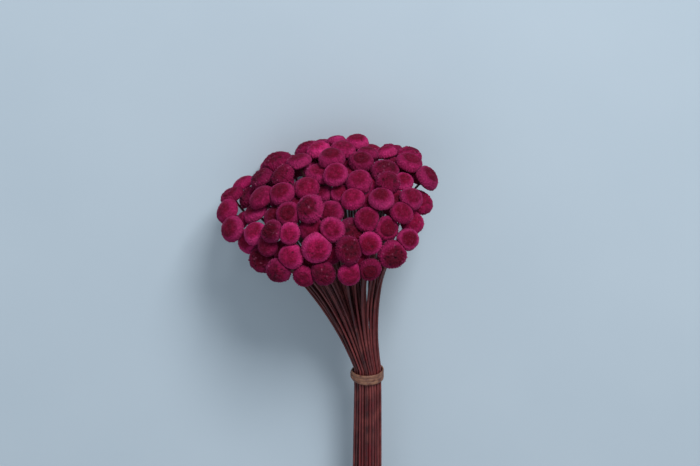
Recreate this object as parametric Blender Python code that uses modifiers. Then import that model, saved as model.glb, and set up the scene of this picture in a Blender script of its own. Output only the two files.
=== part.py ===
"""A tied bunch of dried, dyed button flowers, laid down on its back.

Metres, +Z up. The stems run along +Y towards the heads, +X is to the right seen from above,
and the origin is the middle of the bunch's footprint on the surface it lies on.
"""

import math

import bmesh
import bpy
import numpy as np
from mathutils import Matrix

MM = 0.001
MERGE = 0.001 * MM  # points nearer than this are one
TINY = 1e-9  # keeps a division from failing where two things meet
SHARP = math.radians(50)

# The bunch as a whole, in its own frame: the tie at the origin, Y along the stems, Z to its front
FLOWER_COUNT = 101
SEED = 23
TAIL_LENGTH = 320 * MM  # from the tie to the cut ends
TAIL_STAGGER = 5 * MM  # how unevenly the ends are cut
REST_TILT = math.radians(3.4)  # how steeply it lies, from the cut ends up to the heads
TABLE_UNDER_ENDS = 10.15 * MM  # depth of the surface under the cut ends

# The dome of heads: a cap of an egg shape, wider than deep
DOME_MIDDLE = np.array([-17.5, 78.5, -5.0]) * MM
DOME_RADII = np.array([73.0, 49.5, 49.5]) * MM
DOME_LIMIT = 54.0  # degrees from the crown to the edge, on average
DOME_LIMIT_SWING = 8.0  # degrees more at the front and back, and fewer at the sides
LEAN_FORWARD = math.radians(27)
LEAN_LEFT = math.radians(10)
SIDEWAYS_FACING = 0.70  # how far the heads at the sides turn outwards
DEEPEST, HIGHEST = -6.0 * MM, 3.5 * MM  # heads sunk under the dome, and standing out of it

# One flower head
HEAD_RADIUS, HEAD_SPREAD = 6.6 * MM, 0.6 * MM
SMALLEST_HEAD, LARGEST_HEAD = 5.2 * MM, 8.2 * MM
FLATTEST, FULLEST = 0.44, 0.54  # half the thickness over the radius
HEAD_TURN = 0.15  # how unevenly the heads face, in radians
HEAD_SIDES = 10
FLORET_RELIEF = 0.035  # of the radius
# Radius and height of the bun's outline, each as a share: a dimple, the dome, the rim, the flat underside
HEAD_PROFILE = ((0.00, 0.74), (0.52, 0.96), (0.91, 0.50), (1.00, -0.24), (0.56, -1.00), (0.00, -1.00))

# Stems, and the elastic band round them
STEM_RADIUS = 0.62 * MM
WAIST_RADIUS = 7.4 * MM  # to the centres of the outer stems at the tie
END_RADIUS = 10.0 * MM  # and at the cut ends
WAIST_HALF = 3.8 * MM  # the stems run side by side this far above the tie
CORE_HALF = 1.5 * MM  # where the pressed stems are one body, hidden under the band
CORE_DEPTH = 0.6 * MM  # how near to its middle the stems reach in
CORE_SIDES = 16
STEM_CLIMB, STEM_REACH = 56 * MM, 18 * MM  # handles of the curve at the tie and at the head
STEM_LEAN = np.array([-0.24, 1.0, 0.06])  # the way the stems leave the tie
STEM_SPREAD = 0.11  # and how much the outer ones spread from it
STEM_STATIONS = (0.0, 0.38, 0.58, 0.76, 0.90, 1.0)
BAND_HALF, BAND_THICKNESS, BAND_TURNS = 3.3 * MM, 1.5 * MM, 3
BAND_RIDGE = ((0.12, 0.62), (0.5, 1.0), (0.88, 0.62))  # share across a turn of the band, and its rise
BAND_STEPS = 24
GAP = 0.3 * MM

# How the heads settle beside each other
SETTLE_STEPS = 460
LOOSE_STEPS = 240  # after these the dome stops pulling, and the heads only make room
HEAD_GAP, STEM_GAP = 0.72 * MM, 0.75 * MM
HEAD_PUSH, MATE_PULL, STEM_PUSH = 0.3, 0.3, 0.1  # shares of the wanted move made in one step
TIP_PUSH = 1.2  # how much more a head gives way than the head that its stem runs into
LEVEL_PULL, LOOSE_LEVEL_PULL = 0.10, 0.01
EDGE_PULL, LOOSE_EDGE_PULL = 0.30, 0.02
MATE_OVERLAP = 0.885  # distance of two joined heads, over the sum of their radii
MATE_LIMIT = 1.7
PRESSED = 0.93  # mates nearer than this are joined
LONGEST_MOVE = 0.8 * MM
STEM_TESTS = (0.45, 0.53, 0.60, 0.67, 0.74, 0.82, 0.89, 0.96)  # where a stem is held clear of heads
BUN = 3.0  # exponent of a head's rounded outline

CERISE = (0.235, 0.008, 0.045, 1.0)
MAHOGANY = (0.052, 0.012, 0.010, 1.0)
LATEX = (0.42, 0.25, 0.10, 1.0)


def unit(vectors):
    return vectors / np.linalg.norm(vectors, axis=-1, keepdims=True)


def spin(v, first, second, angle):
    """v turned in the plane of two axes."""
    out = v.copy()
    out[..., first] = v[..., first] * math.cos(angle) - v[..., second] * math.sin(angle)
    out[..., second] = v[..., first] * math.sin(angle) + v[..., second] * math.cos(angle)
    return out


def from_dome(v):
    return spin(spin(v, 1, 2, LEAN_FORWARD), 0, 1, LEAN_LEFT)


def to_dome(v):
    return spin(spin(v, 0, 1, -LEAN_LEFT), 1, 2, -LEAN_FORWARD)


def on_cap(tilt, turn):
    return np.stack([np.sin(tilt) * np.sin(turn), np.cos(tilt), np.sin(tilt) * np.cos(turn)], -1)


def dome_limit(turn):
    return np.radians(DOME_LIMIT + DOME_LIMIT_SWING * np.cos(2 * turn))


def facing(places, unevenness):
    """The way each head faces: out of the dome, turned less to the sides, and each a little its own way."""
    outward = unit(to_dome(places - DOME_MIDDLE) / DOME_RADII)
    return unit(from_dome(unit(outward * (SIDEWAYS_FACING, 1, 1))) + unevenness)


def stem_handles(places, faces, halves, waist):
    """The four points of each stem's curve, from the tie to under its head."""
    foot = waist + (0, WAIST_HALF, 0)
    climb = unit(STEM_LEAN + waist / WAIST_RADIUS * STEM_SPREAD)
    tip = places - faces * (halves + GAP)[:, None]
    return foot, foot + climb * STEM_CLIMB, tip - faces * STEM_REACH, tip


def curve_points(handles, stations):
    a, b, c, d = (h[:, None] for h in handles)
    t = np.asarray(stations)[None, :, None]
    return (1 - t) ** 3 * a + 3 * (1 - t) ** 2 * t * b + 3 * (1 - t) * t * t * c + t**3 * d


def split(gaps, axes):
    """Distance along an axis with its sign, and what is left beside it."""
    along = (gaps * axes).sum(-1)
    beside = gaps - along[..., None] * axes
    return along, beside, np.linalg.norm(beside, axis=-1) + TINY


def bun_distance(along, side, height, radius):
    """1 on the rounded outline of a bun, and less inside it."""
    a, b = side / radius, np.abs(along) / height + TINY
    return (a**BUN + b**BUN) ** (1 / BUN), a, b


def choose_mates(places, faces, radii, halves):
    """Pairs of neighbouring heads that press on each other, the ones with the fewest neighbours first."""
    along, _, side = split(places[None] - places[:, None], unit(faces[None] + faces[:, None]))
    cost = side / (radii[None] + radii[:, None]) + np.abs(along) / (halves[None] + halves[:, None])
    np.fill_diagonal(cost, np.inf)
    mates = -np.ones(FLOWER_COUNT, int)
    while True:
        free = (mates < 0)[None] & (mates < 0)[:, None] & (cost < MATE_LIMIT)
        choices = free.sum(1)
        if not choices.any():
            return mates
        nearest = np.where(free, cost, np.inf).min(1)
        first = np.lexsort((nearest, np.where(choices > 0, choices, FLOWER_COUNT)))[0]
        second = int(np.where(free[first], cost[first], np.inf).argmin())
        mates[first], mates[second] = second, first


def head_crowding(places, faces, radii, halves, mates):
    """How far each head has to move off the others, and the share by which it is still too wide."""
    every = np.arange(FLOWER_COUNT)
    axes = unit(faces[None] + faces[:, None])
    along, beside, side = split(places[None] - places[:, None], axes)
    reach = radii[None] + radii[:, None] + HEAD_GAP
    height = halves[None] + halves[:, None] + HEAD_GAP
    near, a, b = bun_distance(along, side, height, reach)
    slope = ((a / near) ** (BUN - 1) / reach / side)[..., None] * beside
    slope += ((b / near) ** (BUN - 1) / height * np.sign(along))[..., None] * axes
    short = np.clip(1 - near, 0, None)
    short[every, every] = 0
    paired = every[mates >= 0]
    short[paired, mates[paired]] = 0
    move = -((short / ((slope**2).sum(-1) + TINY))[..., None] * slope).sum(1)
    return move, short.max(1)


def mate_pull(places, faces, radii, mates):
    """Draws two joined heads together at one level."""
    move = np.zeros_like(places)
    paired = np.flatnonzero(mates >= 0)
    other = mates[paired]
    _, across, apart = split(places[other] - places[paired], unit(faces[paired] + faces[other]))
    wanted = MATE_OVERLAP * (radii[paired] + radii[other])
    move[paired] = ((apart - wanted) / apart)[:, None] * across + places[other] - places[paired] - across
    return move


def stem_crowding(places, faces, radii, halves, waist):
    """How far each head has to move off the others' stems, and the share by which it is still too wide."""
    every = np.arange(FLOWER_COUNT)
    stems = curve_points(stem_handles(places, faces, halves, waist), STEM_TESTS)
    along, beside, side = split(stems[:, :, None] - places, faces)
    reach = radii + STEM_RADIUS + STEM_GAP
    near, _, _ = bun_distance(along, side, halves + STEM_RADIUS + STEM_GAP, reach)
    short = np.clip(1 - near, 0, None)
    short[every, :, every] = 0
    push = (short * reach / side)[..., None] * beside
    follows = np.array(STEM_TESTS)[:, None, None] ** 3  # how far a point of a stem moves with its head
    return TIP_PUSH * (push * follows).sum((1, 2)) - push.sum((0, 1)), short.max((0, 1))


def settle_flowers():
    """Heads on a golden-angle spiral over the dome, pushed apart until none cuts another head or its stem."""
    rng = np.random.default_rng(SEED)
    share = (np.arange(FLOWER_COUNT) + 0.5) / FLOWER_COUNT
    turn = np.arange(FLOWER_COUNT) * math.pi * (3 - math.sqrt(5))
    radii = np.clip(rng.normal(HEAD_RADIUS, HEAD_SPREAD, FLOWER_COUNT), SMALLEST_HEAD, LARGEST_HEAD)
    halves = radii * rng.uniform(FLATTEST, FULLEST, FLOWER_COUNT)
    levels = rng.uniform(DEEPEST, HIGHEST, FLOWER_COUNT)
    unevenness = rng.normal(0, HEAD_TURN, (FLOWER_COUNT, 3))
    cap = on_cap(np.arccos(1 - share * (1 - np.cos(dome_limit(turn)))), turn)
    places = DOME_MIDDLE + from_dome(cap * DOME_RADII + cap * levels[:, None])
    waist = WAIST_RADIUS * np.sqrt(share)[:, None] * np.stack([np.sin(turn), 0 * turn, np.cos(turn)], -1)
    mates = -np.ones(FLOWER_COUNT, int)
    for step in range(SETTLE_STEPS):
        faces = facing(places, unevenness)
        if step == SETTLE_STEPS // 2:
            mates = choose_mates(places, faces, radii, halves)
        move = HEAD_PUSH * head_crowding(places, faces, radii, halves, mates)[0]
        move += MATE_PULL * mate_pull(places, faces, radii, mates)
        move += STEM_PUSH * stem_crowding(places, faces, radii, halves, waist)[0]
        places = places + np.clip(move, -LONGEST_MOVE, LONGEST_MOVE)
        places = draw_to_dome(places, levels, step < LOOSE_STEPS)
        places[:, 2] += np.clip(table_height(places) - lowest(places, faces, radii, halves), 0, None)
    faces = facing(places, unevenness)
    parted = True
    while parted:
        parted = part_loose_mates(places, faces, radii, halves, mates)
        crowded = head_crowding(places, faces, radii, halves, mates)[1]
        shrink = 1 - np.maximum(crowded, stem_crowding(places, faces, radii, halves, waist)[1])
        radii, halves = radii * shrink, halves * shrink
    return places, faces, radii, halves, waist, mates


def part_loose_mates(places, faces, radii, halves, mates):
    """Leaves single the heads that are kept from pressing on their mates, and says whether it found any."""
    paired = np.flatnonzero(mates >= 0)
    other = mates[paired]
    along, _, side = split(places[other] - places[paired], unit(faces[paired] + faces[other]))
    near = bun_distance(along, side, halves[paired] + halves[other], radii[paired] + radii[other])[0]
    loose = paired[near > PRESSED]
    mates[loose] = -1
    return len(loose) > 0


def draw_to_dome(places, levels, firmly):
    """Pulls the heads back to their levels and inside the dome's edge."""
    local = to_dome(places - DOME_MIDDLE)
    cap = unit(local / DOME_RADII)
    surface = cap * DOME_RADII
    outward = unit(surface)
    tilt = np.arccos(np.clip(cap[:, 1], -1, 1))
    turn = np.arctan2(cap[:, 0], cap[:, 2])
    inside = on_cap(np.minimum(tilt, dome_limit(turn)), turn) * DOME_RADII
    off = ((local - surface) * outward).sum(-1) - levels
    local = local - (LEVEL_PULL if firmly else LOOSE_LEVEL_PULL) * off[:, None] * outward
    local = local + (EDGE_PULL if firmly else LOOSE_EDGE_PULL) * (inside - surface)
    return DOME_MIDDLE + from_dome(local)


def table_height(places):
    return -TABLE_UNDER_ENDS - (places[:, 1] + TAIL_LENGTH) * math.tan(REST_TILT)


def down(faces):
    """For each head, the way down in its own plane, which one of its corners points to."""
    below = np.array([0, -math.sin(REST_TILT), -math.cos(REST_TILT)])
    return below - (faces @ below)[:, None] * faces


def lowest(places, faces, radii, halves):
    """The depth that the head's lowest corner reaches."""
    steep = np.linalg.norm(down(faces), axis=-1)[:, None]
    profile = np.array(HEAD_PROFILE) * (1 + FLORET_RELIEF)
    fall = profile[:, 0] * radii[:, None] * steep - profile[:, 1] * halves[:, None] * faces[:, 2:3]
    return places[:, 2] - fall.max(1) / math.cos(REST_TILT)


def material(name, colour, roughness):
    made = bpy.data.materials.new(name)
    made.use_nodes = True
    shader = made.node_tree.nodes["Principled BSDF"]
    shader.inputs["Base Color"].default_value = colour
    shader.inputs["Roughness"].default_value = roughness
    made.diffuse_color = colour
    return made


def add_object(name, data, group):
    made = bpy.data.objects.new(name, data)
    group.objects.link(made)
    return made


def mesh_of(shape):
    """The evaluated mesh of an object, its doubled points merged and its faces turned outwards."""
    graph = bpy.context.evaluated_depsgraph_get()
    made = bpy.data.meshes.new_from_object(shape.evaluated_get(graph))
    work = bmesh.new()
    work.from_mesh(made)
    bmesh.ops.remove_doubles(work, verts=work.verts, dist=MERGE)
    bmesh.ops.recalc_face_normals(work, faces=work.faces)
    work.to_mesh(made)
    work.free()
    return made


def turned(name, profile, steps, group):
    """A profile of (radius, height) points turned about Z."""
    made = bpy.data.meshes.new(name)
    points = [(x, 0, z) for x, z in profile]
    made.from_pydata(points, [(i, i + 1) for i in range(len(points) - 1)], [])
    shape = add_object(name, made, group)
    screw = shape.modifiers.new("Turn", "SCREW")
    screw.steps = screw.render_steps = steps
    screw.use_merge_vertices = True
    screw.merge_threshold = MERGE
    return shape


def join(shape, group):
    """One closed body of an object and all those of a group, which are then removed."""
    union = shape.modifiers.new("Join", "BOOLEAN")
    union.operation = "UNION"
    union.operand_type = "COLLECTION"
    union.collection = group
    bpy.context.view_layer.update()
    joined = mesh_of(shape)
    shape.modifiers.clear()
    shape.data = joined
    for piece in list(group.objects):
        bpy.data.objects.remove(piece)


def head_mesh(pattern, radius, half, name):
    """The turned bun at its size, its florets raised on every other point and lowered between."""
    made = pattern.copy()
    made.name = name
    points = np.empty(len(made.vertices) * 3, np.float32)
    made.vertices.foreach_get("co", points)
    points = points.reshape(-1, 3).astype(float)
    around = np.arctan2(points[:, 1], points[:, 0]) * HEAD_SIDES / (2 * math.pi)
    ring = np.argmin(np.abs(points[:, 2:3] - np.array(HEAD_PROFILE)[None, :, 1]), axis=1)
    raised = np.where((np.round(around).astype(int) + ring) % 2 == 0, 1.0, -1.0)
    raised *= (ring > 0) & (ring < len(HEAD_PROFILE) - 2)
    points *= (1 + FLORET_RELIEF * raised)[:, None]
    points *= (radius, radius, half)
    made.vertices.foreach_set("co", points.astype(np.float32).ravel())
    made.update()
    return made


def turn_of(face):
    """The rotation that stands a head's Z along the way it faces, with its first corner down."""
    x = unit(down(face[None]))[0]
    return Matrix(np.stack([x, np.cross(face, x), face], axis=1).tolist()).to_quaternion()


def build_heads(flowers, group, helpers, finish):
    places, faces, radii, halves, _, mates = flowers
    pattern_object = turned("head_pattern", HEAD_PROFILE, HEAD_SIDES, helpers)
    bpy.context.view_layer.update()
    pattern = mesh_of(pattern_object)
    bpy.data.objects.remove(pattern_object)
    partners = bpy.data.collections.new("partner")
    helpers.children.link(partners)
    number = 0
    for first in range(FLOWER_COUNT):
        second = mates[first]
        if -1 < second < first:
            continue
        number += 1
        made = []
        for index, where in ((first, group), (second, partners)):
            if index < 0:
                continue
            mesh = head_mesh(pattern, radii[index], halves[index], f"head_{index}")
            head = add_object(f"head_{index}", mesh, where)
            head.location = places[index]
            head.rotation_mode = "QUATERNION"
            head.rotation_quaternion = turn_of(faces[index])
            made.append(head)
        made[0].name = f"button_heads_{number:02d}"
        if second >= 0:
            join(made[0], partners)
        made[0].data.materials.clear()
        made[0].data.materials.append(finish)
        made[0].data.shade_smooth()
        made[0].data.set_sharp_from_angle(angle=SHARP)


def stem_routes(flowers):
    """Each stem in two lengths, from its head down into the core, and from there to its cut end."""
    places, faces, _, halves, waist, _ = flowers
    rng = np.random.default_rng(SEED + 1)
    upper = curve_points(stem_handles(places, faces, halves, waist), STEM_STATIONS)
    out = waist / WAIST_RADIUS
    ends = TAIL_LENGTH + rng.uniform(-TAIL_STAGGER, TAIL_STAGGER, FLOWER_COUNT)
    root = waist + (0, CORE_DEPTH, 0)
    end = out * END_RADIUS - ends[:, None] * (0, 1, 0)
    for index in range(FLOWER_COUNT):
        yield np.vstack([root[index], upper[index]])
        yield np.stack([waist[index] - (0, CORE_DEPTH, 0), end[index]])


def tube(name, route, radius, where, helpers):
    """A closed round tube along a route."""
    path = bpy.data.curves.new(name, "CURVE")
    path.dimensions = "3D"
    path.bevel_depth = radius
    path.bevel_resolution = 0
    path.use_fill_caps = True
    spline = path.splines.new("POLY")
    spline.points.add(len(route) - 1)
    spline.points.foreach_set("co", np.append(route, np.ones((len(route), 1)), axis=1).ravel())
    wire = add_object(name, path, helpers)
    bpy.context.view_layer.update()
    made = add_object(name, mesh_of(wire), where)
    made.matrix_world = wire.matrix_world
    bpy.data.objects.remove(wire)


def build_stems(flowers, group, helpers, finish):
    tubes = bpy.data.collections.new("tubes")
    helpers.children.link(tubes)
    for number, route in enumerate(stem_routes(flowers)):
        tube(f"stem_{number}", route, STEM_RADIUS, tubes, helpers)
    core = cylinder("stems", WAIST_RADIUS, CORE_HALF, group)
    join(core, tubes)
    core.data.materials.clear()
    core.data.materials.append(finish)


def cylinder(name, radius, half, group):
    """A short round block along Y."""
    shape = turned(name, ((0, half), (radius, half), (radius, -half), (0, -half)), CORE_SIDES, group)
    bpy.context.view_layer.update()
    block = mesh_of(shape)
    shape.modifiers.clear()
    shape.data = block
    shape.rotation_euler = (-math.pi / 2, 0, 0)
    apply_place(shape)
    return shape


def band_profile():
    """A closed outline: a flat inner wall, and one rounded ridge outside for each turn of the band."""
    inner = WAIST_RADIUS + STEM_RADIUS + GAP
    across = 2 * BAND_HALF / BAND_TURNS
    points = [(inner, BAND_HALF)]
    for turn in range(BAND_TURNS):
        top = BAND_HALF - turn * across
        for share, rise in BAND_RIDGE:
            points.append((inner + BAND_THICKNESS * rise, top - share * across))
    points.append((inner, -BAND_HALF))
    return points + points[:1]


def build_band(group, finish):
    band = turned("elastic_band", band_profile(), BAND_STEPS, group)
    bpy.context.view_layer.update()
    ring = mesh_of(band)
    band.modifiers.clear()
    band.data = ring
    band.rotation_euler = (-math.pi / 2, 0, 0)
    apply_place(band)
    band.data.materials.append(finish)
    band.data.shade_smooth()
    band.data.set_sharp_from_angle(angle=SHARP)


def apply_place(shape):
    bpy.context.view_layer.update()
    shape.data.transform(shape.matrix_world)
    shape.matrix_world.identity()


def lay_down(group):
    """Tips the bunch to its rest, and moves it so that its box stands on the origin."""
    root = add_object("bunch", None, group)
    for shape in group.objects:
        if shape is not root:
            shape.parent = root
    root.rotation_euler = (REST_TILT, 0, 0)
    bpy.context.view_layer.update()
    low, high = np.full(3, np.inf), np.full(3, -np.inf)
    for shape in group.objects:
        if shape.type != "MESH":
            continue
        corners = np.empty(len(shape.data.vertices) * 3, np.float32)
        shape.data.vertices.foreach_get("co", corners)
        place = np.array(shape.matrix_world)
        corners = corners.reshape(-1, 3) @ place[:3, :3].T + place[:3, 3]
        low, high = np.minimum(low, corners.min(0)), np.maximum(high, corners.max(0))
    root.location = (-(low[0] + high[0]) / 2, -(low[1] + high[1]) / 2, -low[2])


def main():
    for leftover in list(bpy.data.objects):
        bpy.data.objects.remove(leftover)
    bunch = bpy.data.collections.new("button_flower_bunch")
    helpers = bpy.data.collections.new("helpers")
    for group in (bunch, helpers):
        bpy.context.scene.collection.children.link(group)
    flowers = settle_flowers()
    build_heads(flowers, bunch, helpers, material("dyed flower head", CERISE, 0.95))
    build_stems(flowers, bunch, helpers, material("dyed stem", MAHOGANY, 0.6))
    build_band(bunch, material("elastic band", LATEX, 0.5))
    lay_down(bunch)


main()
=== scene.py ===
# A tied bunch of dyed button flowers on its back: velvet heads, ridged stems and a rubber band
import math

import bpy
import numpy as np
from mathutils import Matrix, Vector


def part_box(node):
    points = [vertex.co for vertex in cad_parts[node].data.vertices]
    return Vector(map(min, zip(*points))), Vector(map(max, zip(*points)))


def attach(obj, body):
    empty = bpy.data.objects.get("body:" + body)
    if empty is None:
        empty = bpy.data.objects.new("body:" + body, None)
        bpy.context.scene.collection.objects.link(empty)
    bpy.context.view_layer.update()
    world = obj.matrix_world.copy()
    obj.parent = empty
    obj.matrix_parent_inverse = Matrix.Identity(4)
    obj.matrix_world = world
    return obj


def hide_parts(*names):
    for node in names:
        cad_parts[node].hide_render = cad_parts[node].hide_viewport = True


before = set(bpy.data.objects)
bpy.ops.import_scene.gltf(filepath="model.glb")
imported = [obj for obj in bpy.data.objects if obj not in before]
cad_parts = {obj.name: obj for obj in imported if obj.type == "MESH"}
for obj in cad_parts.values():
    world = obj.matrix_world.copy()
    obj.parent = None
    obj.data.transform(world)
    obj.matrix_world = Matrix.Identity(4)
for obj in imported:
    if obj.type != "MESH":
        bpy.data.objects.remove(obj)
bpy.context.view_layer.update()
mm = 0.001
tiny = 1e-9
goldenTurn = math.pi * (3 - math.sqrt(5))
print("frame:", len(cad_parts), "nodes")

# The bunch in its own frame: the tie at the origin, Y along the stems, Z to its front
bunch = {"count": 101, "seed": 23, "tilt": math.radians(3.4), "tableUnderEnds": 10.15 * mm,
         "tail": 320 * mm, "tailStagger": 5 * mm}
dome = {"middle": np.array([-17.5, 78.5, -5.0]) * mm, "radii": np.array([73.0, 49.5, 49.5]) * mm,
        "limit": 54.0, "limitSwing": 8.0, "leanForward": math.radians(27), "leanLeft": math.radians(10),
        "sideways": 0.70, "deepest": -6.0 * mm, "highest": 3.5 * mm}
button = {"radius": 6.6 * mm, "spread": 0.6 * mm, "smallest": 5.2 * mm, "largest": 8.2 * mm,
          "flattest": 0.44, "fullest": 0.54, "turn": 0.15, "relief": 0.035}
# The outline of the solid heads, in radii across and half-heights up
buttonOutline = ((0.00, 0.74), (0.52, 0.96), (0.91, 0.50), (1.00, -0.24), (0.56, -1.00), (0.00, -1.00))
stalk = {"radius": 0.62 * mm, "waist": 7.4 * mm, "end": 10.0 * mm, "waistHalf": 3.8 * mm, "gap": 0.3 * mm,
         "climb": 56 * mm, "reach": 18 * mm, "lean": np.array([-0.24, 1.0, 0.06]), "spread": 0.11}
settling = {"steps": 460, "looseSteps": 240, "headGap": 0.72 * mm, "stemGap": 0.75 * mm,
            "headPush": 0.3, "matePull": 0.3, "stemPush": 0.1, "tipPush": 1.2,
            "levelPull": (0.10, 0.01), "edgePull": (0.30, 0.02), "mateOverlap": 0.885, "mateLimit": 1.7,
            "pressed": 0.93, "longestMove": 0.8 * mm, "bun": 3.0,
            "tests": (0.45, 0.53, 0.60, 0.67, 0.74, 0.82, 0.89, 0.96)}


def unit(v):
    return v / np.linalg.norm(v, axis=-1, keepdims=True)


def spin(v, first, second, angle):  # v turned in the plane of two axes
    out = v.copy()
    out[..., first] = v[..., first] * math.cos(angle) - v[..., second] * math.sin(angle)
    out[..., second] = v[..., first] * math.sin(angle) + v[..., second] * math.cos(angle)
    return out


def fromDome(v):  # from the leaning dome's axes to the bunch's
    return spin(spin(v, 1, 2, dome["leanForward"]), 0, 1, dome["leanLeft"])


def toDome(v):
    return spin(spin(v, 0, 1, -dome["leanLeft"]), 1, 2, -dome["leanForward"])


def onCap(tilt, turn):  # a point of the unit ball, tilted away from Y and turned about it
    return np.stack([np.sin(tilt) * np.sin(turn), np.cos(tilt), np.sin(tilt) * np.cos(turn)], -1)


def domeLimit(turn):  # the tilt at the dome's edge, greater at the front and back than at the sides
    return np.radians(dome["limit"] + dome["limitSwing"] * np.cos(2 * turn))


def facing(places, unevenness):  # out of the dome, turned less to the sides, each a little its own way
    outward = unit(toDome(places - dome["middle"]) / dome["radii"])
    return unit(fromDome(unit(outward * (dome["sideways"], 1, 1))) + unevenness)


def stemHandles(places, faces, halves, waist):  # the four points of each stem's Bezier curve
    foot = waist + (0, stalk["waistHalf"], 0)
    climb = unit(stalk["lean"] + waist / stalk["waist"] * stalk["spread"])
    tip = places - faces * (halves + stalk["gap"])[:, None]
    return foot, foot + climb * stalk["climb"], tip - faces * stalk["reach"], tip


def curvePoints(handles, stations):
    a, b, c, d = (h[:, None] for h in handles)
    t = np.asarray(stations)[None, :, None]
    return (1 - t) ** 3 * a + 3 * (1 - t) ** 2 * t * b + 3 * (1 - t) * t * t * c + t**3 * d


def split(gaps, axes):  # the length along an axis, what is left beside it, and the length of that
    along = (gaps * axes).sum(-1)
    beside = gaps - along[..., None] * axes
    return along, beside, np.linalg.norm(beside, axis=-1) + tiny


def bunDistance(along, side, height, radius):  # 1 on the rounded outline of a bun, less inside it
    bun = settling["bun"]
    a, b = side / radius, np.abs(along) / height + tiny
    return (a**bun + b**bun) ** (1 / bun), a, b


def chooseMates(places, faces, radii, halves):  # pairs that press on each other, the loneliest first
    along, _, side = split(places[None] - places[:, None], unit(faces[None] + faces[:, None]))
    cost = side / (radii[None] + radii[:, None]) + np.abs(along) / (halves[None] + halves[:, None])
    np.fill_diagonal(cost, np.inf)
    mates = -np.ones(bunch["count"], int)
    while True:
        free = (mates < 0)[None] & (mates < 0)[:, None] & (cost < settling["mateLimit"])
        choices = free.sum(1)
        if not choices.any():
            return mates
        nearest = np.where(free, cost, np.inf).min(1)
        first = np.lexsort((nearest, np.where(choices > 0, choices, bunch["count"])))[0]
        second = int(np.where(free[first], cost[first], np.inf).argmin())
        mates[first], mates[second] = second, first


def headCrowding(places, faces, radii, halves, mates):  # the move off the other heads, and the overlap
    bun = settling["bun"]
    every = np.arange(bunch["count"])
    axes = unit(faces[None] + faces[:, None])
    along, beside, side = split(places[None] - places[:, None], axes)
    reach = radii[None] + radii[:, None] + settling["headGap"]
    height = halves[None] + halves[:, None] + settling["headGap"]
    near, a, b = bunDistance(along, side, height, reach)
    slope = ((a / near) ** (bun - 1) / reach / side)[..., None] * beside
    slope += ((b / near) ** (bun - 1) / height * np.sign(along))[..., None] * axes
    short = np.clip(1 - near, 0, None)
    short[every, every] = 0
    paired = every[mates >= 0]
    short[paired, mates[paired]] = 0
    move = -((short / ((slope**2).sum(-1) + tiny))[..., None] * slope).sum(1)
    return move, short.max(1)


def matePull(places, faces, radii, mates):  # draws two pressed heads together at one level
    move = np.zeros_like(places)
    paired = np.flatnonzero(mates >= 0)
    other = mates[paired]
    _, across, apart = split(places[other] - places[paired], unit(faces[paired] + faces[other]))
    wanted = settling["mateOverlap"] * (radii[paired] + radii[other])
    move[paired] = ((apart - wanted) / apart)[:, None] * across + places[other] - places[paired] - across
    return move


def stemCrowding(places, faces, radii, halves, waist):  # the move off the other heads' stems
    every = np.arange(bunch["count"])
    stems = curvePoints(stemHandles(places, faces, halves, waist), settling["tests"])
    along, beside, side = split(stems[:, :, None] - places, faces)
    reach = radii + stalk["radius"] + settling["stemGap"]
    near, _, _ = bunDistance(along, side, halves + stalk["radius"] + settling["stemGap"], reach)
    short = np.clip(1 - near, 0, None)
    short[every, :, every] = 0
    push = (short * reach / side)[..., None] * beside
    follows = np.array(settling["tests"])[:, None, None] ** 3
    return settling["tipPush"] * (push * follows).sum((1, 2)) - push.sum((0, 1)), short.max((0, 1))


def drawToDome(places, levels, firm):  # back to their levels and inside the dome's edge
    local = toDome(places - dome["middle"])
    cap = unit(local / dome["radii"])
    surface = cap * dome["radii"]
    outward = unit(surface)
    tilt = np.arccos(np.clip(cap[:, 1], -1, 1))
    turn = np.arctan2(cap[:, 0], cap[:, 2])
    inside = onCap(np.minimum(tilt, domeLimit(turn)), turn) * dome["radii"]
    off = ((local - surface) * outward).sum(-1) - levels
    local = local - settling["levelPull"][0 if firm else 1] * off[:, None] * outward
    local = local + settling["edgePull"][0 if firm else 1] * (inside - surface)
    return dome["middle"] + fromDome(local)


def tableHeight(places):  # of the surface under each place
    return -bunch["tableUnderEnds"] - (places[:, 1] + bunch["tail"]) * math.tan(bunch["tilt"])


def down(faces):  # the way down in each head's own plane
    below = np.array([0, -math.sin(bunch["tilt"]), -math.cos(bunch["tilt"])])
    return below - (faces @ below)[:, None] * faces


def lowest(places, faces, radii, halves):  # the height of each head's lowest point
    steep = np.linalg.norm(down(faces), axis=-1)[:, None]
    outline = np.array(buttonOutline) * (1 + button["relief"])
    fall = outline[:, 0] * radii[:, None] * steep - outline[:, 1] * halves[:, None] * faces[:, 2:3]
    return places[:, 2] - fall.max(1) / math.cos(bunch["tilt"])


def partLooseMates(places, faces, radii, halves, mates):  # pairs that don't press on each other after all
    paired = np.flatnonzero(mates >= 0)
    other = mates[paired]
    along, _, side = split(places[other] - places[paired], unit(faces[paired] + faces[other]))
    near = bunDistance(along, side, halves[paired] + halves[other], radii[paired] + radii[other])[0]
    loose = paired[near > settling["pressed"]]
    mates[loose] = -1
    return len(loose) > 0


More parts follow.
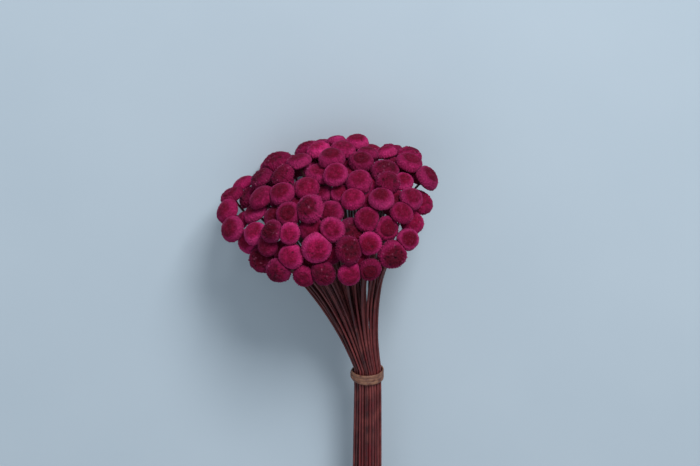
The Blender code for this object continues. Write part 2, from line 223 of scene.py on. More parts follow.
def settleFlowers():  # a golden-angle spiral over the dome, pushed apart until nothing cuts
    rng = np.random.default_rng(bunch["seed"])
    count = bunch["count"]
    share = (np.arange(count) + 0.5) / count
    turn = np.arange(count) * goldenTurn
    radii = rng.normal(button["radius"], button["spread"], count)
    radii = np.clip(radii, button["smallest"], button["largest"])
    halves = radii * rng.uniform(button["flattest"], button["fullest"], count)
    levels = rng.uniform(dome["deepest"], dome["highest"], count)
    unevenness = rng.normal(0, button["turn"], (count, 3))
    cap = onCap(np.arccos(1 - share * (1 - np.cos(domeLimit(turn)))), turn)
    places = dome["middle"] + fromDome(cap * dome["radii"] + cap * levels[:, None])
    waist = stalk["waist"] * np.sqrt(share)[:, None] * np.stack([np.sin(turn), 0 * turn, np.cos(turn)], -1)
    mates = -np.ones(count, int)
    longest = settling["longestMove"]
    for step in range(settling["steps"]):
        faces = facing(places, unevenness)
        if step == settling["steps"] // 2:
            mates = chooseMates(places, faces, radii, halves)
        move = settling["headPush"] * headCrowding(places, faces, radii, halves, mates)[0]
        move += settling["matePull"] * matePull(places, faces, radii, mates)
        move += settling["stemPush"] * stemCrowding(places, faces, radii, halves, waist)[0]
        places = places + np.clip(move, -longest, longest)
        places = drawToDome(places, levels, step < settling["looseSteps"])
        places[:, 2] += np.clip(tableHeight(places) - lowest(places, faces, radii, halves), 0, None)
    faces = facing(places, unevenness)
    parted = True
    while parted:
        parted = partLooseMates(places, faces, radii, halves, mates)
        crowded = headCrowding(places, faces, radii, halves, mates)[1]
        shrink = 1 - np.maximum(crowded, stemCrowding(places, faces, radii, halves, waist)[1])
        radii, halves = radii * shrink, halves * shrink
    return places, faces, radii, halves, waist, mates


# Where the bunch lies in the frame: the band's middle is the tie, and the bunch is tipped about X
bandLow, bandHigh = (np.array(corner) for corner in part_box("elastic_band"))
tie = (bandLow + bandHigh) / 2


def laid(points):  # from the bunch's own frame; nothing sinks below the surface that it lies on
    return np.maximum(spin(points, 1, 2, bunch["tilt"]) + tie, (-np.inf, -np.inf, 0))


# Colours and materials
def colour(code):  # sRGB hex to linear
    parts = [int(code[i:i + 2], 16) / 255 for i in (1, 3, 5)]
    return [c / 12.92 if c <= 0.04045 else ((c + 0.055) / 1.055) ** 2.4 for c in parts] + [1.0]


def node(tree, kind, settings=None, links=None, **fixed):
    made = tree.nodes.new(kind)
    for key, value in fixed.items():
        setattr(made, key, value)
    for key, value in (settings or {}).items():
        made.inputs[key].default_value = value
    for key, source in (links or {}).items():
        tree.links.new(source, made.inputs[key])
    return made


def startMaterial(name):  # the material, its tree, its shader and the place on the object in metres
    made = bpy.data.materials.new(name)
    made.use_nodes = True
    tree = made.node_tree
    return made, tree, tree.nodes["Principled BSDF"], node(tree, "ShaderNodeTexCoord").outputs["Object"]


def fromMesh(tree, *names):  # the values that the mesh carries at its points
    return [node(tree, "ShaderNodeAttribute", attribute_name=name).outputs["Fac"] for name in names]


def noise(tree, place, size, detail, roughness=0.5):  # clouds of a size in metres
    return node(tree, "ShaderNodeTexNoise", {"Scale": 1 / size, "Detail": detail, "Roughness": roughness},
                {"Vector": place}).outputs[0]


def product(tree, first, second):
    return node(tree, "ShaderNodeMath", None, {0: first, 1: second}, operation="MULTIPLY").outputs[0]


def mixed(tree, share, first, second):  # two colours, codes or sockets, mixed by a share
    mix = node(tree, "ShaderNodeMix", None, {0: share}, data_type="RGBA")
    for key, value in ((6, first), (7, second)):
        if isinstance(value, str):
            mix.inputs[key].default_value = colour(value)
        else:
            tree.links.new(value, mix.inputs[key])
    return mix.outputs[2]


def ranged(tree, value, low, high, toLow=0.0, toHigh=1.0):  # a value stretched from one range to another
    return node(tree, "ShaderNodeMapRange", {1: low, 2: high, 3: toLow, 4: toHigh}, {0: value}).outputs[0]


def roughen(tree, shader, height, strength, distance):  # relief too fine to be modelled
    relief = node(tree, "ShaderNodeBump", {"Strength": strength, "Distance": distance}, {"Height": height})
    tree.links.new(relief.outputs[0], shader.inputs["Normal"])


# The crevice colour is painted shade, for the gaps between florets and the hollows of the heads
velvet = {"heart": "#560219", "rim": "#a01d58", "flush": "#840e3a", "dull": "#450615", "creviceShade": "#4a081a",
          "hair": "#b4507c", "pale": "#b0607c", "dry": "#38101a", "under": "#7c1a3a", "sheen": "#d8649c",
          "grain": (0.9 * mm, 3.0, 0.7), "tuft": (1.6 * mm, 2.0, 0.7), "blotch": (3.0 * mm, 2.0),
          "bump": (0.5, 0.2 * mm), "roughness": 0.95, "specular": 0.1, "sheenWeight": 0.42,
          "sheenRoughness": 0.38}
velvetShares = {  # where each pattern or value starts and ends, and the shares it gives there
    "flush": (0.35, 0.65, 0.2, 1.0), "rim": (0.3, 0.6, 0.6, 1.0), "rimHairAndSheen": (0.5, 1.0, 0.0, 0.12),
    "tone": (0.0, 1.0, 0.60, 1.45), "tuft": (0.35, 0.65, 0.75, 1.2), "dull": (0.50, 0.30, 0.0, 0.35),
    "hair": (0.54, 0.74, 0.0, 0.22), "creviceShade": (0.45, 0.0, 0.0, 0.5)}


def velvetMaterial():
    # Dried disc florets dyed by dipping: a deep matte crimson heart, a pinker rim where the hairs stand
    # freely, partly their own colour and partly painted sheen, and the pale edge that velvet has where it
    # turns away from the eye, from the shader's sheen and from a paler hair colour painted on the rim as
    # sheen
    made, tree, shader, place = startMaterial("dyedFloretVelvet")
    tip, rim, tone, flush, pale, dry, under = fromMesh(
        tree, "tip", "rim", "tone", "flush", "pale", "dry", "under")
    grain, tuft, blotch = (noise(tree, place, *velvet[name]) for name in ("grain", "tuft", "blotch"))

    def share(name, value):
        return ranged(tree, value, *velvetShares[name])

    body = mixed(tree, product(tree, flush, share("flush", blotch)), velvet["heart"], velvet["flush"])
    # Partly painted sheen: the rim colour and the paler hair colour over it are partly the florets' own
    # colour and partly stand for velvet's sheen where the head turns away
    body = mixed(tree, product(tree, rim, share("rim", blotch)), body, velvet["rim"])
    body = mixed(tree, share("rimHairAndSheen", rim), body, velvet["hair"])
    strength = product(tree, share("tone", tone), share("tuft", tuft))
    body = node(tree, "ShaderNodeHueSaturation", None, {"Value": strength, "Color": body}).outputs[0]
    body = mixed(tree, share("dull", grain), body, velvet["dull"])
    body = mixed(tree, share("hair", grain), body, velvet["hair"])
    # Painted shade: the crevice colour darkens the gaps between florets and the hollows, where the tip value
    # is low
    body = mixed(tree, share("creviceShade", tip), body, velvet["creviceShade"])
    body = mixed(tree, pale, body, velvet["pale"])
    body = mixed(tree, dry, body, velvet["dry"])
    body = mixed(tree, under, body, velvet["under"])
    tree.links.new(body, shader.inputs["Base Color"])
    roughen(tree, shader, grain, *velvet["bump"])
    shader.inputs["Roughness"].default_value = velvet["roughness"]
    shader.inputs["Specular IOR Level"].default_value = velvet["specular"]
    shader.inputs["Sheen Weight"].default_value = velvet["sheenWeight"]
    shader.inputs["Sheen Roughness"].default_value = velvet["sheenRoughness"]
    shader.inputs["Sheen Tint"].default_value = colour(velvet["sheen"])
    return made


# The stems' darker colour just under the heads is painted shade
bark = {"body": "#702425", "light": "#8c3f3b", "dark": "#321011", "dye": "#7a161f", "dyed": "#3c0a1a",
        "cut": "#a98668", "rib": (0.44 * mm, 2.0), "along": 0.05, "patch": (9 * mm, 3.0),
        "bump": (0.5, 0.1 * mm), "lightShare": (0.45, 0.75, 0.0, 0.8), "dyeShare": (0.45, 0.25, 0.0, 0.7),
        "darkShare": (0.5, 0.3, 0.0, 0.6), "dyedShare": (0.0, 1.0, 0.0, 0.75),
        "roughness": (0.3, 0.7, 0.5, 0.72)}


def barkMaterial():
    # Dried herb stems, dyed: thin, ribbed along their length, satin where handling has smoothed them
    made, tree, shader, place = startMaterial("dyedDriedStem")
    tone, cut, dyed = fromMesh(tree, "tone", "cut", "dyed")
    drawnOut = node(tree, "ShaderNodeMapping", {"Scale": (1.0, bark["along"], 1.0)}, {"Vector": place})
    ribs = noise(tree, drawnOut.outputs[0], *bark["rib"])
    patches = noise(tree, place, *bark["patch"])
    body = mixed(tree, tone, bark["dark"], bark["body"])
    body = mixed(tree, ranged(tree, patches, *bark["lightShare"]), body, bark["light"])
    body = mixed(tree, ranged(tree, patches, *bark["dyeShare"]), body, bark["dye"])
    body = mixed(tree, ranged(tree, ribs, *bark["darkShare"]), body, bark["dark"])
    # Painted shade: the stems are painted darker towards the heads, where the heads shade them
    body = mixed(tree, ranged(tree, dyed, *bark["dyedShare"]), body, bark["dyed"])
    body = mixed(tree, cut, body, bark["cut"])
    tree.links.new(body, shader.inputs["Base Color"])
    roughen(tree, shader, ribs, *bark["bump"])
    tree.links.new(ranged(tree, patches, *bark["roughness"]), shader.inputs["Roughness"])
    return made


latex = {"body": "#6e4534", "dust": "#8a6048", "stain": "#4e221f", "cloud": (2.5 * mm, 4.0),
         "grit": (0.3 * mm, 2.0), "bump": (0.25, 0.05 * mm), "dustShare": (0.4, 0.7),
         "stainShare": (0.5, 0.25, 0.0, 0.8), "roughness": (0.3, 0.7, 0.45, 0.7)}


def latexMaterial():
    # Natural rubber: moulded smooth, dulled by a bloom of powder and stained by the dye
    made, tree, shader, place = startMaterial("naturalRubber")
    cloud, grit = noise(tree, place, *latex["cloud"]), noise(tree, place, *latex["grit"])
    body = mixed(tree, ranged(tree, cloud, *latex["dustShare"]), latex["body"], latex["dust"])
    body = mixed(tree, ranged(tree, cloud, *latex["stainShare"]), body, latex["stain"])
    tree.links.new(body, shader.inputs["Base Color"])
    roughen(tree, shader, grit, *latex["bump"])
    tree.links.new(ranged(tree, cloud, *latex["roughness"]), shader.inputs["Roughness"])
    return made


# Meshes from whole arrays
def gridFaces(rings, around):  # quads between rings of points, each ring closed on itself
    i, j = np.meshgrid(np.arange(rings - 1), np.arange(around), indexing="ij")
    k = (j + 1) % around
    quads = np.stack([i * around + k, i * around + j, (i + 1) * around + j, (i + 1) * around + k], -1)
    return quads.reshape(-1, 4)


def fanFaces(ring, pole, inwards):  # triangles from a ring's points to its pole
    other = np.roll(ring, -1)
    middle = np.full(len(ring), pole)
    order = [middle, ring, other] if inwards else [middle, other, ring]
    return np.stack(order, -1)


def makePiece(name, points, quads, triangles, attributes, finish, slotName, *nodes):
    mesh = bpy.data.meshes.new(name)
    loops = np.concatenate([quads.ravel(), triangles.ravel()])
    sizes = np.concatenate([np.full(len(quads), 4), np.full(len(triangles), 3)])
    mesh.vertices.add(len(points))
    mesh.vertices.foreach_set("co", np.ascontiguousarray(points, np.float32).ravel())
    mesh.loops.add(len(loops))
    mesh.loops.foreach_set("vertex_index", loops.astype(np.int32))
    mesh.polygons.add(len(sizes))
    mesh.polygons.foreach_set("loop_start", (np.cumsum(sizes) - sizes).astype(np.int32))
    mesh.update(calc_edges=True)
    for key, values in attributes.items():
        layer = mesh.attributes.new(key, "FLOAT", "POINT")
        layer.data.foreach_set("value", np.ascontiguousarray(values, np.float32))
    mesh.shade_smooth()
    mesh.materials.append(finish)
    piece = bpy.data.objects.new(name, mesh)
    bpy.context.scene.collection.objects.link(piece)
    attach(piece, "root")
    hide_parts(*nodes)


# One flower head. On the disc 0 is its middle and 1 its edge; on the outline 1 is the head's radius
fine = {"cells": 62, "outlineSteps": 400, "florets": 420, "shake": 0.30, "spread": 0.35, "tall": 0.27 * mm,
        "hair": 0.05 * mm, "grow": 0.32 * mm, "sink": 0.4, "rimHeight": -0.22, "dome": 2.15, "base": 2.5,
        "baseShare": 0.22, "baseSide": 0.9, "top": 1.28, "stalk": 0.10, "covered": 1.06, "tipReach": 1.1,
        "tipPower": 0.8, "overFull": 0.04, "overEnds": 0.13, "contact": 0.02 * mm,
        "rounding": 0.45 * mm, "firstSeed": 1000}
marks = {  # lobes, a dimple, a ring, teeth, pits and lumps: their sizes, or the ranges these are drawn from
    "lobes": ((2, 0.030), (3, 0.020)), "phase": (0, 6), "varied": (0.5, 1.2), "dimpleWide": (0.16, 0.3),
    "grooveAt": (0.50, 0.66), "grooveWide": 0.09, "fringe": (0.70, 0.95), "teeth": (24, 30),
    "closeTeeth": (36, 44), "fringeHair": 2, "pitDeep": 0.75 * mm, "pitWide": 0.06, "pitVaried": (0.6, 1.2),
    "wornWithin": 0.5, "dryWide": (0.15, 0.4), "lumps": 12, "lumpsWithin": 0.8, "lumpWide": (0.12, 0.30),
    "blushAndSheenFrom": (0.35, 0.55), "blushAndSheenFull": (0.85, 1.0)}
# Painted shade: dimple, groove and lumps set how much darker their hollows are painted, up to the share
# darkest; fringeTip and underTip keep that painted shade off the fringe and the underside
shades = {  # how strongly they show in the colours; the lumps' is for each metre of their height
    "dimple": 2.0, "groove": 3.0, "lumps": 900, "darkest": 0.9, "fringeTip": 0.4, "underTip": 0.6,
    "pale": 0.5, "pitDry": 0.8}
headKinds = (  # what the heads have become as they dried: how often, and how far each thing has gone
    # smooth
    {"often": 0.40, "dimple": 0.12, "groove": 0.05, "teeth": 0.11 * mm, "lumps": 0.20 * mm, "rough": 0.9,
     "pits": 0, "dry": 0.0, "pale": 0.000, "tone": (0.20, 0.70), "blushAndSheen": (0.30, 0.95)},
    # opened like a rosette
    {"often": 0.24, "dimple": 0.42, "groove": 0.24, "teeth": 0.26 * mm, "lumps": 0.22 * mm, "rough": 1.3,
     "pits": 0, "dry": 0.10, "pale": 0.000, "tone": (0.20, 0.60), "blushAndSheen": (0.30, 0.80)},
    # worn and rough
    {"often": 0.22, "dimple": 0.25, "groove": 0.10, "teeth": 0.19 * mm, "lumps": 0.60 * mm, "rough": 2.3,
     "pits": 10, "dry": 0.50, "pale": 0.020, "tone": (0.05, 0.45), "blushAndSheen": (0.30, 0.80)},
    # fresh and bright
    {"often": 0.14, "dimple": 0.10, "groove": 0.03, "teeth": 0.13 * mm, "lumps": 0.20 * mm, "rough": 1.0,
     "pits": 1, "dry": 0.0, "pale": 0.003, "tone": (0.75, 1.00), "blushAndSheen": (0.50, 0.95)})


def discGrid():
    # A square grid bent into a disc: each square ring of the grid becomes a circle, evenly spaced
    x, y = np.meshgrid(*[np.linspace(-1, 1, fine["cells"] + 1)] * 2, indexing="ij")
    wide = np.abs(x) > np.abs(y)
    far, near = np.where(wide, x, y), np.where(wide, y, x)
    turn = math.pi / 4 * near / np.where(np.abs(far) < tiny, 1, far)
    a, b = far * np.cos(turn), far * np.sin(turn)
    return np.where(wide, a, b), np.where(wide, b, a)


def headOutline():
    # A superellipse from the top to the rim and a squarer one under it, in radii across and half-heights
    # up, with how much surface lies inside each step, so that the disc's rings get equal shares of it.
    # A half-height is about half a radius
    a = np.linspace(0, math.pi, fine["outlineSteps"])
    over = a < math.pi / 2
    power = np.where(over, fine["dome"], fine["base"])
    rise = np.where(over, fine["top"] - fine["rimHeight"], 1 + fine["rimHeight"])
    r = np.sin(a).clip(0) ** (2 / power)
    z = fine["rimHeight"] + np.sign(np.cos(a)) * np.abs(np.cos(a)) ** (2 / power) * rise
    step = np.hypot(np.diff(r, prepend=0), np.diff(z, prepend=z[0]) / 2)
    area = np.cumsum(r * step * np.where(over | (r > fine["baseSide"]), 1, fine["baseShare"]))
    keep = over | (r > fine["stalk"])
    return r[keep], z[keep], area[keep] / area[keep][-1]


def smooth(value, low, high):  # from 0 at one value to 1 at another, easing at both ends
    t = np.clip((value - low) / (high - low), 0, 1)
    return t * t * (3 - 2 * t)


# Each point of the disc: how far out it is, which way, its place on the outline, and whether it is on the
# upper side, where the florets are
discX, discY = discGrid()
discShare = np.maximum(np.hypot(discX, discY), tiny)
discTurn = np.arctan2(discY, discX)
outlineR, outlineZ, outlineArea = headOutline()
discR = np.interp(discShare**2, outlineArea, outlineR)
discZ = np.interp(discShare**2, outlineArea, outlineZ)
rimShare = np.sqrt(outlineArea[outlineR.argmax()])
discOver = smooth(discShare, rimShare + fine["overEnds"], rimShare + fine["overFull"])


def mound(centre, width):  # e^(-(distance / width)^2) at each point of the disc
    return np.exp(-((discX - centre[0]) ** 2 + (discY - centre[1]) ** 2) / width**2)


def bell(distance, width):  # e^(-(distance / width)^2)
    return np.exp(-((distance / width) ** 2))


def within(rng, far):  # a place on the disc, at most so far from its middle along each side
    return rng.uniform(-far, far, 2)


def nearestFloret(rng):
    # The florets stand on a golden-angle spiral, each shaken a little from its place. For each point of
    # the disc: the nearest floret, and how far off it is, where 1 is about half the way to the next floret
    k = np.arange(fine["florets"]) + 0.5
    width = rimShare * fine["covered"] / math.sqrt(fine["florets"])
    r = np.sqrt(k) * width
    spots = r * np.cos(k * goldenTurn), r * np.sin(k * goldenTurn)
    spots = [spot + rng.normal(0, fine["shake"] * width, len(k)) for spot in spots]
    apart = (discX.reshape(-1, 1) - spots[0]) ** 2 + (discY.reshape(-1, 1) - spots[1]) ** 2
    nearest = apart.argmin(1)
    far = np.sqrt(apart[np.arange(len(nearest)), nearest]) / width
    return nearest.reshape(discX.shape), far.reshape(discX.shape)


def headShape(radius, half, rng):
    # The disc wrapped over the outline, a little lobed, with a dimple in its top and a ring round that.
    # Then its relief along the normals, of florets, lumps, hairs, the rim's teeth and a few pits, and last
    # the values that the material reads
    kind = headKinds[rng.choice(len(headKinds), p=[each["often"] for each in headKinds])]
    radius = radius + fine["grow"] - fine["sink"] * fine["tall"]
    half = half + fine["grow"] / 2 - fine["sink"] * fine["tall"]
    lobes = sum((deep * np.sin(waves * discTurn + rng.uniform(*marks["phase"]))
                 for waves, deep in marks["lobes"]), 1)
    dimple = kind["dimple"] * rng.uniform(*marks["varied"]) * bell(discR, rng.uniform(*marks["dimpleWide"]))
    groove = kind["groove"] * rng.uniform(*marks["varied"])
    groove = groove * bell(discR - rng.uniform(*marks["grooveAt"]), marks["grooveWide"])
    r = discR * radius * lobes
    z = (discZ - (dimple + groove) * discOver) * half
    points = np.stack([r * np.cos(discTurn), r * np.sin(discTurn), z], -1)
    normal = unit(np.cross(np.gradient(points, axis=0), np.gradient(points, axis=1)))

    nearest, far = nearestFloret(rng)
    size = rng.uniform(1 - fine["spread"], 1 + fine["spread"], fine["florets"])[nearest]
    tip = np.clip(fine["tipReach"] - far, 0, 1) ** fine["tipPower"]
    fringe = smooth(discR, *marks["fringe"]) * discOver
    teeth = np.sin(rng.integers(*marks["teeth"]) * discTurn)
    teeth = teeth + np.sin(rng.integers(*marks["closeTeeth"]) * discTurn + rng.uniform(*marks["phase"]))
    pits = sum((mound(within(rng, marks["wornWithin"]), marks["pitWide"] * rng.uniform(*marks["pitVaried"]))
                for _ in range(kind["pits"])), 0 * discR).clip(0, 1)
    lumps = sum(rng.uniform(-1, 1) * mound(within(rng, marks["lumpsWithin"]), rng.uniform(*marks["lumpWide"]))
                for _ in range(marks["lumps"]))
    hair = rng.normal(0, fine["hair"], discR.shape) * (1 + marks["fringeHair"] * fringe)
    lift = (tip * size * kind["rough"] * fine["tall"] + hair + lumps * kind["lumps"]) * discOver
    lift = lift + kind["teeth"] * teeth / 2 * fringe - pits * marks["pitDeep"]
    points = points + normal * lift[..., None]

    # The rim's pinker colour: partly the florets' own colour, partly painted sheen of the rim that turns away
    blushAndSheen = smooth(discR, rng.uniform(*marks["blushAndSheenFrom"]), rng.uniform(*marks["blushAndSheenFull"]))
    blushAndSheen = blushAndSheen * rng.uniform(*kind["blushAndSheen"])
    dry = kind["dry"] * mound(within(rng, marks["wornWithin"]), rng.uniform(*marks["dryWide"]))
    faded = (rng.uniform(size=fine["florets"]) < kind["pale"])[nearest]
    # Painted shade: the dimple, the groove and the lumps' hollows lower the tip value, so the crevice colour
    # darkens them
    sunk = shades["dimple"] * dimple + shades["groove"] * groove - shades["lumps"] * kind["lumps"] * lumps
    sunk = 1 - np.clip(sunk, 0, shades["darkest"])
    tips = np.clip(tip * size + shades["fringeTip"] * fringe, 0, 1)
    return points, {"tip": tips * sunk * discOver + shades["underTip"] * (1 - discOver), "rim": blushAndSheen,
                    "pale": shades["pale"] * faded * tip * discOver,
                    "dry": np.clip(dry + shades["pitDry"] * pits, 0, 1), "under": 1 - discOver,
                    "tone": np.full(discR.shape, rng.uniform(*kind["tone"])),
                    "flush": np.full(discR.shape, rng.uniform())}


def standUp(points, place, face):  # the head's Z along the way it faces, its X as far down as it can be
    x = unit(down(face[None]))[0]
    return points @ np.stack([x, np.cross(face, x), face]) + place


def pressFlat(points, place, radius, otherPlace, otherRadius):
    # What passes the plane where two heads meet is laid back on it, by a soft step that rounds its edge:
    # the distance that is left to the plane is w ln(1 + e^(distance / w))
    way = otherPlace - place
    reach = np.linalg.norm(way) * radius / (radius + otherRadius) - fine["contact"]
    way = unit(way)
    left = reach - (points - place) @ way
    past = np.logaddexp(0, left / fine["rounding"]) * fine["rounding"] - left
    return points - past[..., None] * way


def makeHeads(flowers, finish):
    places, faces, radii, halves, _, mates = flowers
    wide = fine["cells"] + 1
    size = wide * wide + 1
    index = np.arange(wide * wide).reshape(wide, wide)
    cells = np.stack([index[:-1, :-1], index[1:, :-1], index[1:, 1:], index[:-1, 1:]], -1).reshape(-1, 4)
    border = np.concatenate([index[:-1, 0], index[-1, :-1], index[:0:-1, -1], index[0, :0:-1]])
    number = 0
    for first in range(bunch["count"]):
        second = mates[first]
        if -1 < second < first:
            continue
        number += 1
        allPoints, quads, triangles, layers = [], [], [], []
        for own, other in ((first, second), (second, first)):
            if own < 0:
                continue
            start = len(allPoints) * size
            points, looks = headShape(radii[own], halves[own], np.random.default_rng(fine["firstSeed"] + own))
            points = standUp(points, places[own], faces[own])
            if other >= 0:
                points = pressFlat(points, places[own], radii[own], places[other], radii[other])
            points = points.reshape(-1, 3)
            allPoints.append(np.vstack([points, points[border].mean(0)]))
            quads.append(start + cells)
            triangles.append(start + fanFaces(border, size - 1, False))
            layers.append({key: np.append(value.ravel(), value.ravel()[border].mean())
                           for key, value in looks.items()})
        merged = {key: np.concatenate([layer[key] for layer in layers]) for key in layers[0]}
        makePiece(f"velvetHeads{number:02d}", laid(np.vstack(allPoints)), np.vstack(quads),
                  np.vstack(triangles), merged, finish, "dyed_flower_head", f"button_heads_{number:02d}")
    return number


# Stems
rod = {"sides": 8, "upper": 40, "lower": 34, "sunk": 1.2 * mm, "flare": 0.30, "flareLength": 5 * mm,
       "wander": 0.35 * mm, "thick": 1.04, "thickSpread": 0.10, "slope": 0.5, "wood": 0.82,
       "pith": 0.6, "dyedLength": 40 * mm, "waves": (1.5, 3.0), "seed": 77}


def stemLines(flowers):  # each stem's line from its cut end through the tie and up into its head
    places, faces, _, halves, waist, _ = flowers
    rng = np.random.default_rng(bunch["seed"] + 1)
    handles = stemHandles(places, faces, halves, waist)
    upper = curvePoints(handles, np.linspace(0, 1, rod["upper"]))
    ends = bunch["tail"] + rng.uniform(-bunch["tailStagger"], bunch["tailStagger"], bunch["count"])
    end = waist / stalk["waist"] * stalk["end"] - ends[:, None] * (0, 1, 0)
    t = np.linspace(0, 1, rod["lower"] + 1)[None, :-1, None]
    lower = end[:, None] * (1 - t) + waist[:, None] * t
    sway = rng.normal(0, rod["wander"], (bunch["count"], 1, 3)) * (1, 0, 1)
    lower = lower + sway * np.sin(t * math.pi * rng.uniform(*rod["waves"], (bunch["count"], 1, 1)))
    tip = upper[:, -1:] + faces[:, None] * (stalk["gap"] + rod["sunk"])
    return np.concatenate([lower, upper, tip], 1)


def makeStems(flowers, finish):
    # A ring of points round each line, square to it, thicker just under the head. The lowest ring is
    # slanted as the knife left it, with a smaller ring in it for the bare wood
    rng = np.random.default_rng(rod["seed"])
    lines = stemLines(flowers)
    count, stations = lines.shape[:2]
    way = unit(np.gradient(lines, axis=1))
    side = unit(np.cross(way, (0.0, 0.0, 1.0)))
    up = np.cross(side, way)
    left = np.linalg.norm(lines - lines[:, -1:], axis=-1)
    thick = stalk["radius"] * (1 + rod["flare"] * np.exp(-left / rod["flareLength"]))
    thick = thick * rng.normal(rod["thick"], rod["thickSpread"], (count, 1))
    u = np.arange(rod["sides"]) * 2 * math.pi / rod["sides"]
    ring = np.cos(u)[:, None] * side[:, :, None] + np.sin(u)[:, None] * up[:, :, None]
    points = lines[:, :, None] + ring * thick[:, :, None, None]
    slope = rng.normal(0, rod["slope"], (count, 2, 1))
    slant = slope[:, 0] * np.cos(u) + slope[:, 1] * np.sin(u)
    points[:, 0] += way[:, :1] * (slant * thick[:, :1])[..., None]
    face = points[:, :1].mean(2, keepdims=True)
    points = np.concatenate([face + (points[:, :1] - face) * rod["wood"], points], 1)
    stations += 1
    size = stations * rod["sides"] + 2
    poles = np.stack([points[:, 0].mean(1), points[:, -1].mean(1)], 1)
    allPoints = np.concatenate([points.reshape(count, -1, 3), poles], 1)
    starts = np.arange(count)[:, None, None] * size
    quads = gridFaces(stations, rod["sides"])[None] + starts
    around = np.arange(rod["sides"])
    bottom = fanFaces(around, size - 2, True)[None] + starts
    top = fanFaces((stations - 1) * rod["sides"] + around, size - 1, False)[None] + starts
    cut = np.zeros((count, size))
    cut[:, :rod["sides"]] = 1
    cut[:, -2] = rod["pith"]
    tone = np.repeat(rng.uniform(size=(count, 1)), size, 1)
    # Painted shade, strongest just under each head and fading down the stem
    dyed = np.zeros((count, size))
    dyed[:, rod["sides"]:-2] = np.repeat(bell(left, rod["dyedLength"]), rod["sides"], 1)
    dyed[:, -1] = 1
    makePiece("driedStems", laid(allPoints.reshape(-1, 3)), quads.reshape(-1, 4),
              np.vstack([bottom.reshape(-1, 3), top.reshape(-1, 3)]),
              {"tone": tone.ravel(), "cut": cut.ravel(), "dyed": dyed.ravel()}, finish, "dyed_stem", "stems")


# The rubber band
elastic = {"turns": 3, "half": 3.3 * mm, "thick": 1.5 * mm, "wide": 2.0 * mm, "steps": 288, "sides": 12,
           "backFrom": 0.80, "lift": 0.55 * mm, "squareness": 0.6}


def makeBand(finish):
    # A flat rounded strip along a coil that climbs for most of its turns and crosses back over itself
    t = np.arange(elastic["steps"]) / elastic["steps"]
    angle = t * elastic["turns"] * 2 * math.pi
    back = np.clip((t - elastic["backFrom"]) / (1 - elastic["backFrom"]), 0, 1)
    travel = elastic["half"] - elastic["wide"] / 2
    y = np.where(t < elastic["backFrom"], -travel + 2 * travel * t / elastic["backFrom"],
                 travel - 2 * travel * smooth(back, 0, 1))
    inner = stalk["waist"] + stalk["radius"] + stalk["gap"]
    strip = elastic["thick"] - elastic["lift"]
    r = inner + strip / 2 + elastic["lift"] * np.sin(math.pi * back) ** 2
    line = np.stack([r * np.sin(angle), y, r * np.cos(angle)], -1)
    way = unit(np.roll(line, -1, 0) - np.roll(line, 1, 0))
    out = unit(line * (1, 0, 1))
    out = unit(out - (out * way).sum(-1, keepdims=True) * way)
    across = np.cross(way, out)
    u = np.arange(elastic["sides"]) * 2 * math.pi / elastic["sides"]
    a = np.sign(np.cos(u)) * np.abs(np.cos(u)) ** elastic["squareness"] * strip / 2
    b = np.sign(np.sin(u)) * np.abs(np.sin(u)) ** elastic["squareness"] * elastic["wide"] / 2
    points = line[:, None] + out[:, None] * a[:, None] + across[:, None] * b[:, None]
    i, j = np.meshgrid(np.arange(len(t)), np.arange(len(u)), indexing="ij")
    i2, j2 = (i + 1) % len(t), (j + 1) % len(u)
    n = len(u)
    quads = np.stack([i * n + j, i * n + j2, i2 * n + j2, i2 * n + j], -1).reshape(-1, 4)
    makePiece("rubberBand", laid(points.reshape(-1, 3)), quads, np.zeros((0, 3), int), {}, finish,
              "elastic_band", "elastic_band")


flowers = settleFlowers()
print("settled", bunch["count"], "flowers")
pairs = makeHeads(flowers, velvetMaterial())
print("made", pairs, "pieces of velvet heads")
makeStems(flowers, barkMaterial())
makeBand(latexMaterial())
print("made the stems and the band")

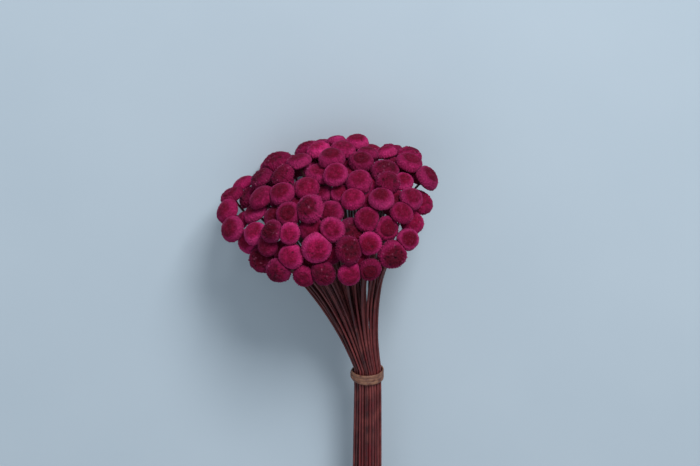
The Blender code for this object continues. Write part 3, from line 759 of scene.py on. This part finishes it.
# The surface it lies on, the camera and the lights. The camera has a focal length of 1830 pixels in a
# picture 700 pixels wide
studio = {"card": "#b3bfc7", "cardMottle": "#bbc6cd", "mottle": (90 * mm, 3.0), "cardRoughness": 0.8,
          "floorSize": 6.0, "sky": "#d3e0ec", "skyStrength": 0.48, "camera": np.array([-9.9, 446, 940]) * mm,
          "pitch": math.radians(21), "sensor": 36, "lens": 1830 / 700 * 36, "farthest": 20,
          "lit": np.array([-17.5, 100.0, 10.0]) * mm}
lamps = {"keyLight": {"away": (0.45, 1.15, 1.05), "size": 0.6, "power": 26, "tint": "#f2f6fb"},
         "fillLight": {"away": (-0.5, -0.4, 1.4), "size": 1.2, "power": 3, "tint": "#e6eefa"}}


def makeFloor():
    s = studio["floorSize"] / 2
    mesh = bpy.data.meshes.new("floor")
    mesh.from_pydata([(-s, -s, 0), (s, -s, 0), (s, s, 0), (-s, s, 0)], [], [(0, 1, 2, 3)])
    made, tree, shader, place = startMaterial("paleCard")
    mottle = noise(tree, place, *studio["mottle"])
    tree.links.new(mixed(tree, mottle, studio["card"], studio["cardMottle"]), shader.inputs["Base Color"])
    shader.inputs["Roughness"].default_value = studio["cardRoughness"]
    mesh.materials.append(made)
    floor = bpy.data.objects.new("floor", mesh)
    bpy.context.scene.collection.objects.link(floor)


def makeCamera():
    data = bpy.data.cameras.new("camera")
    data.lens = studio["lens"]
    data.sensor_width = studio["sensor"]
    data.clip_end = studio["farthest"]
    camera = bpy.data.objects.new("camera", data)
    camera.location = laid(studio["camera"])
    camera.rotation_euler = (-studio["pitch"] + bunch["tilt"], 0, 0)
    bpy.context.scene.collection.objects.link(camera)
    bpy.context.scene.camera = camera


def makeLight(name, lamp):  # a square lamp that faces the heads
    data = bpy.data.lights.new(name, "AREA")
    data.size = lamp["size"]
    data.energy = lamp["power"]
    data.color = colour(lamp["tint"])[:3]
    light = bpy.data.objects.new(name, data)
    target = laid(studio["lit"])
    light.location = target + lamp["away"]
    light.rotation_euler = (Vector(target) - light.location).to_track_quat("-Z", "Y").to_euler()
    bpy.context.scene.collection.objects.link(light)


makeFloor()
makeCamera()
for name, lamp in lamps.items():
    makeLight(name, lamp)
world = bpy.data.worlds.new("room")
world.use_nodes = True
world.node_tree.nodes["Background"].inputs[0].default_value = colour(studio["sky"])
world.node_tree.nodes["Background"].inputs[1].default_value = studio["skyStrength"]
bpy.context.scene.world = world
bpy.context.scene.view_settings.view_transform = "Standard"
print("made the floor, the camera and the lights")
